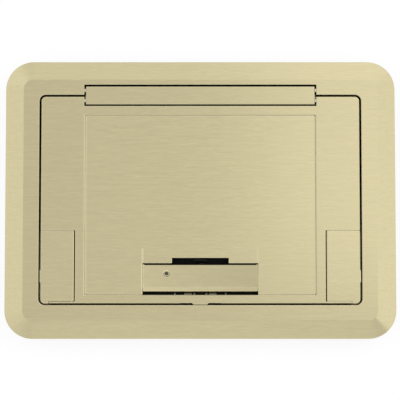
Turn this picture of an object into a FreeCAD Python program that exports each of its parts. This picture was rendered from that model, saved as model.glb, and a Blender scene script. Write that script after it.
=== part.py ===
"""Floor box cover: flange, double-hinged lid with inlaid panel, two cable doors and a lift handle.

Millimetres. X runs along the hinge, Y points from the handle side to the hinge side, Z is up.
The origin is under the centre, at the collar's lower edge. The floor is at z = collar_depth.
"""
import FreeCAD, Part
import math
import os

from FreeCAD import Vector

# Overall flange
flange_length = 340.0
flange_width = 241.7
flange_radius = 24.3
side_border = 29.8
end_border = 29.35
bevel_width = 16.0
bevel_rise = 4.2
rim_edge = 1.3
top_wall = 3.0
collar_depth = 18.0
collar_wall = 4.0
channel_width = 4.5
channel_corner = 8.0
opening_wall = 3.0
channel_rib = 2.0
channel_rib_pitch = 52.0
channel_rib_margin = 20.0

# Lid and the gaps round it
lid_radius = 3.8
lid_plate = 3.5
lid_rim_depth = 5.5
lid_rim_width = 4.0
side_gap = 1.6
rear_gap = 1.6
front_gap = 1.4
edge_chamfer = 0.35
lid_rib = 2.0
lid_rib_depth = 3.5
lid_rib_pitch_x = 32.5
lid_rib_pitch_y = 34.0
lid_rib_margin_x = 38.0
lid_rib_margin_y = 20.0
lid_rib_clearance = 3.0
front_relief = 0.3
front_relief_half = 18.0
tab_half = 7.2
tab_tip_half = 6.0
tab_gap = 0.35
tab_sink = 0.3

# Ledge under the lid
ledge_width = 8.0
ledge_drop = 6.5
ledge_thickness = 3.0
rear_ledge_drop = 8.1
rear_ledge_thickness = 3.2
lid_gasket_width = 4.0
lid_gasket_radius = 0.6

# Hinge strip and its pins
strip_inset = 39.0
strip_width = 15.9
strip_shift = 0.25
strip_thickness = 6.0
strip_edge = 0.6
strip_end_gap = 1.7
strip_front_gap = 1.3
strip_relief_depth = 2.5
strip_relief_wall = 1.6
strip_relief_end = 12.5
pin_pitch = 9.1
hinge_pin_radius = 1.6
hinge_pin_seat = 6.5
hinge_pin_end = 0.5
hinge_wall = 2.0
pin_clearance = 0.05

# Inlaid panel
panel_inset = 38.35
panel_front_inset = 7.45
panel_rear_inset = 8.1
panel_thickness = 1.2
panel_gap = 0.25
panel_radius = 1.0
panel_edge = 0.3
groove_width = 1.4
groove_depth = 0.5
groove_length = 13.0

# Handle window, handle and lock screw
window_half = 50.0
window_inset = 7.55
window_depth = 27.25
window_rim = 3.5
window_rim_depth = 7.5
finger_slot_length = 49.25
finger_slot_width = 4.6
handle_end_gap = 0.3
handle_rear_gap = 1.0
handle_sink = 0.15
handle_thickness = 2.8
handle_edge = 0.4
handle_lean = 0.25
handle_axis_inset = 5.55
handle_pin_radius = 1.25
handle_pin_seat = 3.0
lock_screw_x = -29.3
lock_screw_setback = 9.0
lock_head_radius = 3.0
lock_head_height = 1.35
lock_shank_radius = 1.5
lock_shank_length = 8.0
lock_play = 0.2
lock_boss_radius = 3.2
lock_boss_gap = 0.6
hex_across_flats = 2.0
hex_depth = 1.1

# Latch
arm_reach = 4.15
arm_radius = 1.1
arm_inner = 7.5
arm_outer = 13.5
arm_side_play = 0.5
bolt_half = 15.0
bolt_nose_half = 12.0
bolt_nose_play = 1.2
bolt_shoulder = 2.0
bolt_thickness = 3.0
bolt_drop = 6.3
bolt_engagement = 2.7
bolt_lead_rest = 1.0
bolt_tail = 11.0
bolt_window_play = 0.6
bolt_side_play = 0.3
bolt_float = 0.1
catch_play = 0.4
spring_radius = 2.5
spring_wire = 0.35
spring_turns = 6
spring_steps = 8
spring_length = 12.5
spring_end_play = 0.1

# Latch housing
housing_wall = 1.5
housing_floor_drop = 14.0
housing_clearance = 0.4
housing_tail = 8.8
housing_screw_offset = 8.0
housing_ear = 5.0
housing_screw_radius = 1.5
housing_screw_grip = 3.0
housing_screw_head = 2.8
housing_screw_head_height = 1.8
housing_hole_play = 0.2
guide_width = 2.0
keeper_thickness = 1.5
rail_x = 3.0
rail_width = 2.0
spring_stop_half = 6.0
spring_stop_thickness = 2.0
spring_stop_rise = 1.2

# Cable doors
door_width = 29.2
door_lip = 2.0
door_length = 60.9
door_thickness = 3.0
door_seam = 0.3
door_front_seam = 0.4
door_hinge_seam = 0.75
door_knuckle = 2.0
door_knuckle_edge = 0.8
door_pin_radius = 1.0
door_pin_seat = 7.0
door_tab_offset = 16.3
door_tab_length = 10.5
door_tab_root = 4.0
door_tab_reach = 0.5
door_inset = 0.3
door_lip_inset = 7.1
door_stop = 2.2
door_stop_inset = 3.0

# Screws into the floor box and the floor gasket
screw_inset = 9.0
screw_radius = 2.0
screw_hole_radius = 3.2
screw_head_radius = 4.2
screw_head_height = 1.6
screw_head_space = 1.6
screw_slot = 1.2
screw_slot_depth = 0.9
screw_length = 12.0
screw_ear = 8.0
screw_ear_corner = 6.0
screw_ear_thickness = 4.0
floor_gasket_width = 8.4
floor_gasket_thickness = 1.6
floor_gasket_gap = 0.4
floor_gasket_step = 1.0

# How far fused shapes reach into each other, and cutting shapes reach past what they cut
lap = 0.5
past = 1.0

# Heights and lines that follow from the sizes above
top = collar_depth + rim_edge + bevel_rise
opening_length = flange_length - 2 * side_border
opening_width = flange_width - 2 * end_border
opening_radius = lid_radius + side_gap
opening_rear = opening_width / 2
opening_front = -opening_width / 2
lid_length = opening_length - 2 * side_gap
lid_width = opening_width - rear_gap - front_gap
lid_rear = opening_rear - rear_gap
lid_front = opening_front + front_gap
lid_y = (lid_rear + lid_front) / 2
lid_half = lid_length / 2
lid_under = top - lid_plate
rim_bottom = top - lid_rim_depth
ledge_top = top - ledge_drop
ledge_bottom = ledge_top - ledge_thickness
rear_ledge_top = top - rear_ledge_drop
rear_ledge_bottom = rear_ledge_top - rear_ledge_thickness
ledge_inner_x = opening_length / 2 - ledge_width
ledge_inner_front = opening_front + ledge_width
collar_inner = opening_wall + channel_width
collar_outer = collar_inner + collar_wall
strip_length = lid_length - 2 * strip_inset
strip_y = opening_rear - rear_gap / 2 + strip_shift
hinge_z = top - strip_thickness / 2
rear_axis_y = strip_y + pin_pitch / 2
front_axis_y = strip_y - pin_pitch / 2
notch_half = strip_length / 2 + strip_end_gap
notch_rear = strip_y + strip_width / 2 + rear_gap
notch_front = strip_y - strip_width / 2 - strip_front_gap
hinge_block_half = notch_half + hinge_pin_seat + hinge_wall
panel_length = lid_length - 2 * panel_inset
panel_front = lid_front + panel_front_inset
panel_rear = notch_front - panel_rear_inset
panel_width = panel_rear - panel_front
panel_y = (panel_rear + panel_front) / 2
window_front = lid_front + window_inset
window_rear = window_front + window_depth
window_out = window_half + window_rim
window_rim_bottom = top - window_rim_depth
handle_top = top - handle_sink
handle_axis_y = window_front + handle_axis_inset
handle_axis_z = handle_top - handle_thickness
handle_half = window_half - handle_end_gap
handle_rear = window_rear - handle_rear_gap
lock_screw_y = window_rear - lock_screw_setback
lock_hole_radius = lock_shank_radius + lock_play
lock_screw_top = handle_top - handle_lean * ((handle_rear - lock_screw_y)
                                             / (handle_rear - handle_axis_y))
bolt_top = top - bolt_drop
bolt_bottom = bolt_top - bolt_thickness
bolt_tip = opening_front - bolt_engagement
bolt_rear = handle_axis_y + bolt_tail
housing_floor = top - housing_floor_drop
housing_inside = housing_floor + housing_wall
housing_front = ledge_inner_front + housing_clearance
housing_rear = window_rear + housing_tail
housing_screw_x = window_half + housing_screw_offset
housing_screw_y = (housing_front + housing_rear) / 2
spring_stop_y = bolt_rear + spring_length
door_inner_x = lid_half - door_width
door_axis_x = door_inner_x + door_knuckle
door_axis_z = top - door_knuckle
door_under = top - door_thickness
door_front = lid_front + door_lip
door_rear = door_front + door_length
door_lip_end = lid_half - door_lip_inset
door_notch_x = door_inner_x - door_hinge_seam
door_notch_rear = door_rear + door_seam
door_notch_front = door_front - door_front_seam
screw_x = opening_length / 2 - screw_inset
screw_y = opening_rear - screw_inset
screw_space = screw_head_radius + screw_head_space
screw_seat = rear_ledge_top - screw_head_height
ear_bottom = rear_ledge_top - screw_ear_thickness


def box(x0, x1, y0, y1, z0, z1):
    return Part.makeBox(x1 - x0, y1 - y0, z1 - z0, Vector(x0, y0, z0))


def rod_x(x0, x1, y, z, radius):
    return Part.makeCylinder(radius, x1 - x0, Vector(x0, y, z), Vector(1, 0, 0))


def rod_y(y0, y1, x, z, radius):
    return Part.makeCylinder(radius, y1 - y0, Vector(x, y0, z), Vector(0, 1, 0))


def rod_z(z0, z1, x, y, radius):
    return Part.makeCylinder(radius, z1 - z0, Vector(x, y, z0), Vector(0, 0, 1))


def cone_z(z0, z1, x, y, radius0, radius1):
    return Part.makeCone(radius0, radius1, z1 - z0, Vector(x, y, z0), Vector(0, 0, 1))


def outline(length, width, radius, z, y=0.0):
    """Closed wire of a rectangle with rounded corners, centred on x = 0."""
    a = length / 2
    b = width / 2
    quarter = radius * (1 - math.sqrt(0.5))
    corners = []
    for sx, sy in ((1, 1), (-1, 1), (-1, -1), (1, -1)):
        along_x = Vector(sx * (a - radius), y + sy * b, z)
        along_y = Vector(sx * a, y + sy * (b - radius), z)
        middle = Vector(sx * (a - quarter), y + sy * (b - quarter), z)
        ends = (along_y, along_x) if sx * sy > 0 else (along_x, along_y)
        corners.append((ends[0], middle, ends[1]))
    edges = []
    for number, (start, middle, end) in enumerate(corners):
        edges.append(Part.Arc(start, middle, end).toShape())
        following = corners[(number + 1) % 4][0]
        edges.append(Part.LineSegment(end, following).toShape())
    return Part.Wire(edges)


def slab(length, width, radius, z0, z1, y=0.0):
    face = Part.Face(outline(length, width, radius, z0, y))
    return face.extrude(Vector(0, 0, z1 - z0))


def ring(length, width, radius, wall, z0, z1, y=0.0):
    """Upright wall round a rounded rectangle that is its inside."""
    outside = slab(length + 2 * wall, width + 2 * wall, radius + wall, z0, z1, y)
    return outside.cut(slab(length, width, radius, z0 - past, z1 + past, y))


def flare(length, width, radius, grow, z0, z1, y=0.0):
    """Rounded rectangle that grows by the given amount on every side from z0 to z1."""
    low = outline(length, width, radius, z0, y)
    high = outline(length + 2 * grow, width + 2 * grow, radius + grow, z1, y)
    return Part.makeLoft([low, high], True, True)


def prism_x(points, x0, x1):
    """Solid with a (y, z) outline, extruded from x0 to x1."""
    corners = [Vector(x0, y, z) for y, z in points]
    face = Part.Face(Part.makePolygon(corners + corners[:1]))
    return face.extrude(Vector(x1 - x0, 0, 0))


def prism_y(points, y0, y1):
    """Solid with an (x, z) outline, extruded from y0 to y1."""
    corners = [Vector(x, y0, z) for x, z in points]
    face = Part.Face(Part.makePolygon(corners + corners[:1]))
    return face.extrude(Vector(0, y1 - y0, 0))


def prism_z(points, z0, z1):
    """Solid with an (x, y) outline, extruded from z0 to z1."""
    corners = [Vector(x, y, z0) for x, y in points]
    face = Part.Face(Part.makePolygon(corners + corners[:1]))
    return face.extrude(Vector(0, 0, z1 - z0))


def mirrored(shape):
    return shape.mirror(Vector(0, 0, 0), Vector(1, 0, 0))


def fused(shapes):
    return shapes[0].multiFuse(shapes[1:]).removeSplitter()


def both_sides(shape):
    return [shape, mirrored(shape)]


def spread(reach, pitch, middle=0.0):
    """Evenly spaced places either side of the middle, none further out than the reach."""
    count = int(2 * reach / pitch) + 1
    return [middle + (number - (count - 1) / 2) * pitch for number in range(count)]


def corner_places():
    return [(sx * screw_x, sy * screw_y) for sx in (-1, 1) for sy in (-1, 1)]


def flange_border():
    """The sloped outer border: an upright edge, the long bevel and the flat top."""
    edge = slab(flange_length, flange_width, flange_radius, collar_depth, collar_depth + rim_edge)
    bevel = flare(flange_length, flange_width, flange_radius, -bevel_width,
                  collar_depth + rim_edge, top)
    return edge.fuse(bevel)


def channel_ribs():
    """Ribs between the opening wall and the collar, on all four sides."""
    x0 = opening_length / 2 + opening_wall - lap
    x1 = opening_length / 2 + collar_inner + lap
    y0 = opening_rear + opening_wall - lap
    y1 = opening_rear + collar_inner + lap
    low = ledge_bottom
    high = top - top_wall + lap
    half = channel_rib / 2
    ribs = []
    for x in spread(opening_length / 2 - channel_rib_margin, channel_rib_pitch):
        ribs.append(box(x - half, x + half, -y1, -y0, low, high))
    rear_x = (hinge_block_half + opening_length / 2) / 2
    for x in (-rear_x, rear_x):
        ribs.append(box(x - half, x + half, y0, y1, low, high))
    for y in spread(opening_rear - channel_rib_margin, channel_rib_pitch):
        ribs += both_sides(box(x0, x1, y - half, y + half, low, high))
    return ribs


def hinge_pocket_block():
    """Casting wall under and beside the hinge strip, deep enough to hold its pins."""
    return box(-hinge_block_half, hinge_block_half, opening_rear + opening_wall - lap,
               opening_rear + collar_inner + lap, rear_ledge_bottom, top - top_wall + lap)


def screw_ears():
    """Corner ears of the ledge that take the screws into the floor box."""
    inner_x = screw_x - screw_ear
    inner_y = screw_y - screw_ear
    outer_x = opening_length / 2 + opening_wall / 2
    outer_y = opening_rear + opening_wall / 2
    points = [(inner_x + screw_ear_corner, inner_y), (outer_x, inner_y), (outer_x, outer_y),
              (inner_x, outer_y), (inner_x, inner_y + screw_ear_corner)]
    ears = []
    for sy in (-1, 1):
        corner = [(x, sy * y) for x, y in points]
        ears += both_sides(prism_z(corner, ear_bottom, rear_ledge_top))
    return ears


def collar():
    """Wall that goes down into the floor box, solid up to the flange."""
    return slab(opening_length + 2 * collar_outer, opening_width + 2 * collar_outer,
                opening_radius + collar_outer, 0, collar_depth + lap)


def collar_hollow():
    """Channel between the collar and the opening wall, its corners cut off straight."""
    x = opening_length / 2 + collar_inner
    y = opening_rear + collar_inner
    cut = channel_corner
    points = [(x - cut, -y), (x, cut - y), (x, y - cut), (x - cut, y),
              (cut - x, y), (-x, y - cut), (-x, cut - y), (cut - x, -y)]
    return prism_z(points, -past, top - top_wall)


def ledge():
    """Inward ledge under the lid, lower along the hinge side, before its middle is cut out."""
    low_ledge = slab(opening_length + 2 * lap, opening_width + 2 * lap, opening_radius,
                     ledge_bottom, ledge_top)
    half = opening_length / 2 + opening_wall / 2
    rear = box(-half, half, opening_rear - ledge_width - past, opening_rear + past,
               rear_ledge_bottom, ledge_top)
    return [low_ledge, rear]


def gasket_ring(play):
    """Ring under the flange for the foam gasket, or its pocket when play is added."""
    inner = collar_outer + floor_gasket_step + floor_gasket_gap - play
    return ring(opening_length + 2 * inner, opening_width + 2 * inner, opening_radius + inner,
                floor_gasket_width + 2 * play, collar_depth - play,
                collar_depth + floor_gasket_thickness)


def flange_openings():
    """Everything that is cut out of the flange apart from screw holes and pin bores."""
    through = slab(2 * ledge_inner_x, opening_width - 2 * ledge_width, lap, -past, top + past)
    for ear in screw_ears():
        through = through.cut(ear)
    rear_y = opening_rear - ledge_width
    above_ledge = slab(opening_length, opening_width, opening_radius, ledge_top, top + past)
    chamfer = flare(opening_length, opening_width, opening_radius, edge_chamfer,
                    top - edge_chamfer, top)
    rear_band = box(-opening_length / 2, opening_length / 2, rear_y - past, opening_rear,
                    rear_ledge_top, ledge_top + past)
    notch = box(-notch_half, notch_half, rear_y, notch_rear, rear_ledge_top, top + past)
    nose = bolt_nose_half + bolt_nose_play
    catch = box(-nose, nose, opening_front - opening_wall - lap, opening_front,
                ledge_bottom - past, bolt_top + catch_play)
    shoulder = bolt_half + bolt_shoulder
    ledge_slot = box(-shoulder, shoulder, opening_front, ledge_inner_front + past,
                     ledge_bottom - past, ledge_top + past)
    return [above_ledge, chamfer, through, rear_band, notch, catch, ledge_slot,
            gasket_ring(floor_gasket_gap)]


def make_flange():
    wall = ring(opening_length, opening_width, opening_radius, opening_wall, ledge_bottom,
                top - past)
    body = flange_border().fuse(collar()).cut(collar_hollow())
    body = body.multiFuse([wall, hinge_pocket_block()] + ledge() + channel_ribs() + screw_ears())
    for hole in flange_openings():
        body = body.cut(hole)
    for x, y in corner_places():
        body = body.cut(rod_z(ear_bottom - past, top, x, y, screw_hole_radius))
        body = body.cut(box(x - screw_space, x + screw_space, y - screw_space, y + screw_space,
                            screw_seat, ledge_top + lap))
    for bore in both_sides(rod_x(notch_half - past, notch_half + hinge_pin_seat, rear_axis_y,
                                 hinge_z, hinge_pin_radius)):
        body = body.cut(bore)
    return body.removeSplitter()


def make_floor_gasket():
    return gasket_ring(0)


def make_lid_gasket():
    """Right-hand seal on the ledge: the side run and its half of the front run."""
    line = (ledge_width - lid_gasket_width) / 2
    inner = line + lid_gasket_width
    seal = ring(opening_length - 2 * inner, opening_width - 2 * inner, lid_gasket_radius,
                lid_gasket_width, ledge_top, rim_bottom)
    keep = box(bolt_half + bolt_shoulder + past, opening_length / 2, opening_front,
               screw_y - screw_space - past, ledge_top, rim_bottom)
    seal = seal.common(keep)
    return seal.cut(rod_z(ledge_top - past, rim_bottom + past, screw_x, -screw_y,
                          screw_space + lap))


def make_mounting_screws():
    """Four pan-head screws, sunk in the corner ears, that go down into the floor box."""
    screws = []
    for x, y in corner_places():
        shank = rod_z(screw_seat - screw_length, screw_seat, x, y, screw_radius)
        head = rod_z(screw_seat, rear_ledge_top, x, y, screw_head_radius)
        slot = box(x - screw_slot / 2, x + screw_slot / 2, y - screw_head_radius - past,
                   y + screw_head_radius + past, rear_ledge_top - screw_slot_depth,
                   rear_ledge_top + past)
        screws.append(shank.fuse(head).cut(slot).removeSplitter())
    return Part.makeCompound(screws)


def make_hinge_strip():
    half = strip_length / 2
    front = strip_y - strip_width / 2
    rear = strip_y + strip_width / 2
    low = top - strip_thickness
    bar = box(-half, half, front, rear, low, top)
    long_edges = [edge for edge in bar.Edges if edge.BoundBox.XLength > half]
    bar = bar.makeFillet(strip_edge, long_edges)
    relief_half = pin_pitch / 2 - hinge_pin_radius - strip_relief_wall
    relief_end = half - strip_relief_end
    bar = bar.cut(box(-relief_end, relief_end, strip_y - relief_half, strip_y + relief_half,
                      low - past, low + strip_relief_depth))
    for y in (front_axis_y, rear_axis_y):
        for bore in both_sides(rod_x(half - hinge_pin_seat, half + past, y, hinge_z,
                                     hinge_pin_radius + pin_clearance)):
            bar = bar.cut(bore)
    return bar.removeSplitter()


def make_hinge_pin(y):
    """Right-hand hinge pin, from the strip across its end gap into the casting beside it."""
    inner = strip_length / 2 - hinge_pin_seat + hinge_pin_end
    return rod_x(inner, notch_half + hinge_pin_seat, y, hinge_z, hinge_pin_radius)


def door_notch():
    """Right-hand notch in the lid for a cable door, with the lip in front of it."""
    outside = lid_half + past
    notch = box(door_notch_x, outside, door_notch_front, door_notch_rear, 0, top + past)
    corner = box(door_lip_end - door_front_seam, outside, lid_front - past,
                 door_notch_front + past, 0, top + past)
    return notch.fuse(corner)


def door_stops():
    """Right-hand ledges that the closed cable door rests on."""
    x0 = door_axis_x + door_knuckle + past
    rear = box(x0, lid_half - door_stop_inset, door_notch_rear - door_stop,
               door_notch_rear + past, rim_bottom, door_under)
    front = box(x0, door_lip_end - past, lid_front + lap, door_notch_front + door_stop,
                rim_bottom, door_under)
    return [rear, front]


def door_rims():
    """Right-hand rims in the lid that hold the ends of the cable door's pin."""
    inner = door_notch_x - lid_rim_width
    rear = box(inner, lid_half - lap, door_notch_rear,
               door_notch_rear + door_pin_seat + past, rim_bottom, top - past)
    side = box(inner, door_notch_x, lid_front + past, door_notch_rear + past, rim_bottom,
               top - past)
    return [rear, side]


def lid_ribs():
    """Stiffening ribs under the plate, clear of the housing and the door notches."""
    low = lid_under - lid_rib_depth
    high = lid_under + lap
    half = lid_rib / 2
    end_x = ledge_inner_x - lid_rib_clearance
    end_y = notch_front - lid_rim_width - lap
    ribs = []
    rows_middle = (notch_front + housing_rear) / 2
    rows_reach = (notch_front - housing_rear) / 2 - lid_rib_margin_y
    for y in spread(rows_reach, lid_rib_pitch_y, rows_middle):
        ribs.append(box(-end_x, end_x, y - half, y + half, low, high))
    for x in spread(lid_half - lid_rib_margin_x, lid_rib_pitch_x):
        beside_housing = abs(x) > housing_screw_x + housing_ear
        front = ledge_inner_front if beside_housing else housing_rear
        ribs.append(box(x - half, x + half, front + lid_rib_clearance, end_y, low, high))
    return ribs


def lid_blank():
    """Plate with its chamfered top edge and the rim all round underneath."""
    plate = slab(lid_length, lid_width, lid_radius, lid_under, top - edge_chamfer, lid_y)
    cap = flare(lid_length, lid_width, lid_radius, -edge_chamfer, top - edge_chamfer, top, lid_y)
    outside = slab(lid_length, lid_width, lid_radius, rim_bottom, lid_under + lap, lid_y)
    hollow = slab(lid_length - 2 * lid_rim_width, lid_width - 2 * lid_rim_width, lap,
                  rim_bottom - past, lid_under, lid_y)
    return plate.fuse(cap).fuse(outside.cut(hollow))


def handle_window(z0, z1):
    """Window for the handle together with the finger slot behind it."""
    window = box(-window_half, window_half, window_front, window_rear, z0, z1)
    half = finger_slot_length / 2
    slot = box(-half, half, window_rear - past, window_rear + finger_slot_width, z0, z1)
    return window.fuse(slot)


def window_frame():
    """Deep rim round the window that carries the handle pin and the housing."""
    rear = window_rear + finger_slot_width + window_rim
    front_end = housing_front + housing_wall
    high = lid_under + lap
    deep = box(-window_out, window_out, front_end, rear, window_rim_bottom, high)
    front = box(-window_out, window_out, lid_front + past, front_end, rim_bottom, high)
    boss = box(window_out - lap, housing_screw_x + housing_ear, housing_screw_y - housing_ear,
               housing_screw_y + housing_ear, window_rim_bottom, high)
    return [deep, front] + both_sides(boss)


def front_tab():
    """Small tapered tab in the middle of the lid's front edge."""
    rear = lid_front + front_relief + past
    root = lid_front + front_relief
    tip = opening_front + tab_gap
    points = [(-tab_half, rear), (-tab_half, root), (-tab_tip_half, tip),
              (tab_tip_half, tip), (tab_half, root), (tab_half, rear)]
    return prism_z(points, lid_under, top - tab_sink)


def lid_bores():
    """Seats of the hinge pins, the handle pin, the door pins and the housing's screws."""
    hinge = rod_x(notch_half - past, notch_half + hinge_pin_seat, front_axis_y, hinge_z,
                  hinge_pin_radius)
    handle = rod_x(0, window_half + handle_pin_seat, handle_axis_y, handle_axis_z,
                   handle_pin_radius)
    door = rod_y(lid_front + lap, door_notch_rear + door_pin_seat, door_axis_x, door_axis_z,
                 door_pin_radius)
    screw = rod_z(0, window_rim_bottom + housing_screw_grip + past, housing_screw_x,
                  housing_screw_y, housing_screw_radius)
    return [bore for one in (hinge, handle, door, screw) for bore in both_sides(one)]


def make_lid():
    ears = box(notch_half - past, lid_half - past, notch_front - lid_rim_width,
               lid_rear - lap, rim_bottom, top - past)
    notch_rim = box(-notch_half - past, notch_half + past, notch_front - lid_rim_width,
                    notch_front, rim_bottom, top - past)
    parts = [lid_blank(), notch_rim] + both_sides(ears) + lid_ribs() + window_frame()
    for seat in door_rims() + door_stops():
        parts += both_sides(seat)
    body = parts[0].multiFuse(parts[1:])
    body = body.common(slab(lid_length, lid_width, lid_radius, 0, top, lid_y))
    notch = door_notch()
    for stop in door_stops():
        notch = notch.cut(stop)
    for side in both_sides(notch):
        body = body.cut(side)
    body = body.cut(box(-notch_half, notch_half, notch_front, lid_rear + past, 0, top + past))
    body = body.cut(slab(panel_length + 2 * panel_gap, panel_width + 2 * panel_gap,
                         panel_radius + panel_gap, top - panel_thickness, top + past, panel_y))
    body = body.cut(handle_window(0, top + past))
    body = body.cut(box(-front_relief_half, front_relief_half, lid_front - past,
                        lid_front + front_relief, 0, top + past))
    body = body.fuse(front_tab())
    for bore in lid_bores():
        body = body.cut(bore)
    return body.removeSplitter()


def make_insert_plate():
    low = top - panel_thickness
    plate = slab(panel_length, panel_width, panel_radius, low, top - panel_edge, panel_y)
    plate = plate.fuse(flare(panel_length, panel_width, panel_radius, -panel_edge,
                             top - panel_edge, top, panel_y))
    plate = plate.cut(handle_window(low - past, top + past))
    plate = plate.cut(box(-window_half, window_half, panel_front - past, window_front + past,
                          low - past, top + past))
    half = groove_width / 2
    for x in (-window_half, window_half):
        groove = prism_y([(x - half, top), (x + half, top), (x, top - groove_depth)],
                         panel_front - past, window_rear + groove_length)
        plate = plate.cut(groove)
    return plate.removeSplitter()


def door_knuckle_bar():
    """Rounded bar along the door's inner edge, round its pin."""
    low = top - 2 * door_knuckle
    block = box(door_inner_x, door_inner_x + 2 * door_knuckle, door_front, door_rear, low, top)
    inner_edges = [e for e in block.Edges
                   if e.BoundBox.YLength > past and e.BoundBox.XMax < door_axis_x]
    block = block.makeFillet(door_knuckle_edge, inner_edges)
    corner = box(door_axis_x, lid_half, door_front - past, door_rear + past, low - past,
                 door_under)
    return block.cut(corner).fuse(rod_y(door_front, door_rear, door_axis_x, door_axis_z,
                                        door_knuckle))


def make_cable_door():
    """Right-hand cable door with its knuckle, edge tab and rounded outer corner."""
    area = slab(lid_length - 2 * door_inset, lid_width, lid_radius, door_under, top, lid_y)
    keep = box(door_axis_x, lid_half, lid_front, door_rear, 0, top + past)
    lip = box(0, door_lip_end, lid_front - past, door_front, 0, top + past)
    plate = area.common(keep).cut(lip)
    tab_front = door_front + door_tab_offset
    tab = box(lid_half - door_tab_root, lid_half + door_tab_reach, tab_front,
              tab_front + door_tab_length, door_under, top)
    body = plate.multiFuse([tab, door_knuckle_bar()])
    bore = rod_y(door_front - past, door_rear + past, door_axis_x, door_axis_z,
                 door_pin_radius + pin_clearance)
    return body.cut(bore).removeSplitter()


def make_door_pin():
    return rod_y(lid_front + lap, door_notch_rear + door_pin_seat - pin_clearance, door_axis_x,
                 door_axis_z, door_pin_radius)


def crank_arm():
    """Right-hand crank arm under the handle that slides the bolt."""
    web = box(arm_inner, arm_outer, handle_axis_y - arm_radius, handle_axis_y + arm_radius,
              handle_axis_z - arm_reach, handle_axis_z)
    tip = rod_x(arm_inner, arm_outer, handle_axis_y, handle_axis_z - arm_reach, arm_radius)
    return web.fuse(tip)


def make_handle():
    plate = prism_x([(handle_axis_y, handle_axis_z), (handle_rear, handle_axis_z),
                     (handle_rear, handle_top), (handle_axis_y, handle_top - handle_lean)],
                    -handle_half, handle_half)
    rear_top = [e for e in plate.Edges if e.BoundBox.ZMin > handle_axis_z + lap
                and e.BoundBox.YMin > handle_axis_y + lap]
    plate = plate.makeFillet(handle_edge, rear_top)
    roll = rod_x(-handle_half, handle_half, handle_axis_y, handle_axis_z, handle_thickness)
    body = fused([plate, roll] + both_sides(crank_arm()))
    body = body.cut(rod_x(-handle_half - past, handle_half + past, handle_axis_y,
                          handle_axis_z, handle_pin_radius + pin_clearance))
    body = body.cut(rod_z(0, top, lock_screw_x, lock_screw_y, lock_hole_radius))
    sink_radius = lock_head_radius + lock_play / 2
    body = body.cut(cone_z(lock_screw_top - sink_radius + lock_hole_radius, lock_screw_top,
                           lock_screw_x, lock_screw_y, lock_hole_radius, sink_radius))
    return body.removeSplitter()


def make_handle_pin():
    reach = window_half + handle_pin_seat - pin_clearance
    return rod_x(-reach, reach, handle_axis_y, handle_axis_z, handle_pin_radius)


def make_lock_screw():
    """Countersunk screw with a hexagon socket, from the handle into the housing's boss."""
    x = lock_screw_x
    y = lock_screw_y
    neck = lock_screw_top - lock_head_height
    head = cone_z(neck, lock_screw_top, x, y, lock_shank_radius, lock_head_radius)
    shank = rod_z(lock_screw_top - lock_shank_length, neck, x, y, lock_shank_radius)
    corner = hex_across_flats / math.sqrt(3)
    points = [(x + corner * math.cos(math.radians(60 * number)),
               y + corner * math.sin(math.radians(60 * number))) for number in range(6)]
    socket = prism_z(points, lock_screw_top - hex_depth, lock_screw_top + past)
    return head.fuse(shank).cut(socket).removeSplitter()


def make_latch_bolt():
    """Flat bolt with a sloped nose and a window for each crank arm."""
    body = box(-bolt_half, bolt_half, opening_front + bolt_shoulder, bolt_rear, bolt_bottom,
               bolt_top)
    nose = box(-bolt_nose_half, bolt_nose_half, bolt_tip, opening_front + bolt_shoulder + lap,
               bolt_bottom, bolt_top)
    lead = bolt_thickness - bolt_lead_rest
    ramp = prism_x([(bolt_tip - past, bolt_bottom - past),
                    (bolt_tip + lead + past, bolt_bottom - past),
                    (bolt_tip - past, bolt_bottom + lead + past)],
                   -bolt_nose_half - past, bolt_nose_half + past)
    body = body.fuse(nose).cut(ramp)
    reach = arm_radius + bolt_window_play
    window = box(arm_inner - arm_side_play, arm_outer + arm_side_play, handle_axis_y - reach,
                 handle_axis_y + reach, bolt_bottom - past, bolt_top + past)
    for side in both_sides(window):
        body = body.cut(side)
    return body.removeSplitter()


def housing_pan():
    """Open pan under the handle window, with the slot that lets the bolt out."""
    front_wall = housing_front + housing_wall
    shell = box(-window_out, window_out, housing_front, housing_rear, housing_floor,
                window_rim_bottom)
    lip = box(-window_out, window_out, housing_front, front_wall, housing_floor, rim_bottom)
    inside = window_out - housing_wall
    hollow = box(-inside, inside, front_wall, housing_rear - housing_wall, housing_inside, top)
    half = bolt_half + bolt_side_play
    slot = box(-half, half, housing_front - past, front_wall + past, bolt_bottom - bolt_float,
               top)
    return shell.fuse(lip).cut(hollow).cut(slot)


def bolt_guides():
    """Right-hand guide, keeper and rail that the bolt slides between and on."""
    inner = bolt_half + bolt_side_play
    outer = inner + guide_width
    front = housing_front + housing_wall - lap
    low = housing_inside - lap
    guide = box(inner, outer, front, bolt_rear + past, low, bolt_top)
    keeper_front = handle_axis_y + handle_thickness + past
    keeper_rear = bolt_rear - past
    keeper_low = bolt_top + bolt_float
    keeper_high = keeper_low + keeper_thickness
    post = box(inner, outer, keeper_front, keeper_rear, low, keeper_high)
    keeper = box(arm_outer + arm_side_play, outer, keeper_front, keeper_rear, keeper_low,
                 keeper_high)
    rail = box(rail_x, rail_x + rail_width, front, bolt_rear + past, low,
               bolt_bottom - bolt_float)
    return [guide, post, keeper, rail]


def housing_ear_plate():
    """Right-hand ear with a screw hole, level with the pan's rim."""
    return box(window_out - lap, housing_screw_x + housing_ear, housing_screw_y - housing_ear,
               housing_screw_y + housing_ear, window_rim_bottom - housing_wall,
               window_rim_bottom)


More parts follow.
